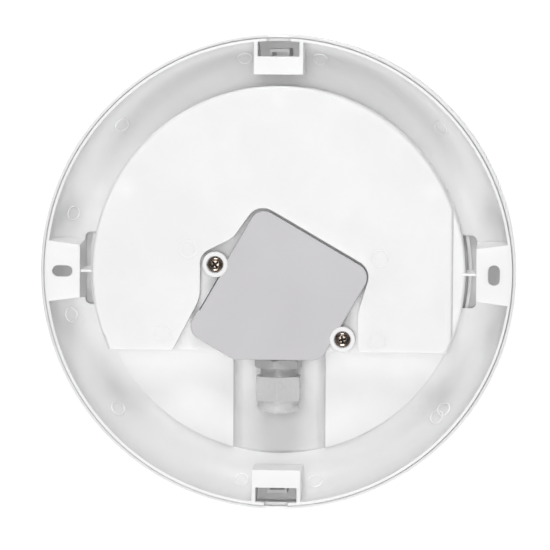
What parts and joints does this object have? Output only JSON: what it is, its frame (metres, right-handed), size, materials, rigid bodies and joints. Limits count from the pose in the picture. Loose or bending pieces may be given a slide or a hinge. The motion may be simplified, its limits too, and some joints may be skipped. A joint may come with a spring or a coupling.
{
  "type": "soffit bulkhead light",
  "caption": "Round surface bulkhead light for a soffit: dished base with a wiring box and cable gland on its back, clip-on trim ring and opal diffuser.",
  "frame": {"origin": "centre of the plane of the base's rim and boss tops, which touches the ceiling", "axes": "+Z towards the ceiling, +X towards the fixing slot that runs tangentially, the cable gland points along -Y"},
  "size_m": [0.26, 0.26, 0.058],
  "materials": {
    "white_housing": "moulded white plastic, fine satin",
    "white_trim": "moulded white plastic, satin",
    "opal_plastic": "opal diffusing plastic",
    "white_rubber": "soft white silicone",
    "plated_steel": "zinc plated",
    "bare_aluminium": "rolled sheet",
    "white_board": "white solder mask",
    "led_phosphor": "yellow phosphor",
    "black_insulation": "black insulation",
    "grey_insulator": "moulded insulator",
    "board_laminate": "green laminate",
    "dark_ferrite": "ferrite and tape",
    "capacitor_sleeve": "shrink sleeve",
    "grey_box": "moulded grey plastic",
    "grey_cover": "moulded grey plastic, satin",
    "grey_rubber": "soft grey rubber",
    "bronzed_steel": "dark passivated steel",
    "natural_nylon": "natural nylon",
    "terminal_brass": "machined brass",
    "brown_insulation": "brown insulation",
    "blue_insulation": "blue insulation",
    "grey_nylon": "grey nylon"
  },
  "bodies": {
    "base": {"base_housing": "white_housing", "diffuser": "opal_plastic", "diffuser_gasket": "white_rubber", "diffuser_screws": "plated_steel", "led_plate": "bare_aluminium", "led_plate_screws": "plated_steel", "led_board": "white_board", "leds": "led_phosphor", "led_leads": "black_insulation", "driver_tray": "grey_insulator", "driver_board": "board_laminate", "driver_transformer": "dark_ferrite", "driver_capacitors": "capacitor_sleeve", "driver_cover": "grey_insulator", "junction_box_body": "grey_box", "box_fixing_screws": "plated_steel", "terminal_block": "natural_nylon", "terminal_barrels": "terminal_brass", "terminal_screws": "plated_steel", "lead_grommet": "grey_rubber", "live_lead": "brown_insulation", "neutral_lead": "blue_insulation", "gland_body": "grey_nylon", "gland_washer": "grey_rubber", "gland_locknut": "grey_nylon"},
    "trim": {"trim_ring": "white_trim"},
    "box_cover": {"junction_box_cover": "grey_cover", "cover_gasket": "grey_rubber"},
    "left_cover_screw": {"cover_screw_left": "bronzed_steel"},
    "right_cover_screw": {"cover_screw_right": "bronzed_steel"},
    "gland_insert": {"gland_seal": "grey_rubber"},
    "dome_nut": {"gland_nut": "grey_nylon"}
  },
  "joints": [
    {"name": "trim_release", "type": "slide", "parent": "base", "child": "trim", "axis": [0, 0, -1], "range_m": [0, 0.045]},
    {"name": "cover_lift", "type": "slide", "parent": "base", "child": "box_cover", "axis": [0, 0, 1], "range_m": [0, 0.03]},
    {"name": "left_screw_turn", "type": "hinge", "parent": "box_cover", "child": "left_cover_screw", "pos_m": [-0.03419, 0.0043, -0.0032], "axis": [0, 0, 1], "continuous": true},
    {"name": "right_screw_turn", "type": "hinge", "parent": "box_cover", "child": "right_cover_screw", "pos_m": [0.03579, -0.0361, -0.0032], "axis": [0, 0, 1], "continuous": true},
    {"name": "gland_insert_travel", "type": "slide", "parent": "base", "child": "gland_insert", "axis": [0, -1, 0], "range_m": [-0.00376, 0.00601]},
    {"name": "dome_nut_turn", "type": "hinge", "parent": "gland_insert", "child": "dome_nut", "pos_m": [0, -0.0652, -0.0164], "axis": [0, -1, 0], "range_deg": [-900, 1440]}
  ],
  "couplings": [
    {"joint": "gland_insert_travel", "follows": "dome_nut_turn", "m_per_rad": 0.00023873}
  ]
}
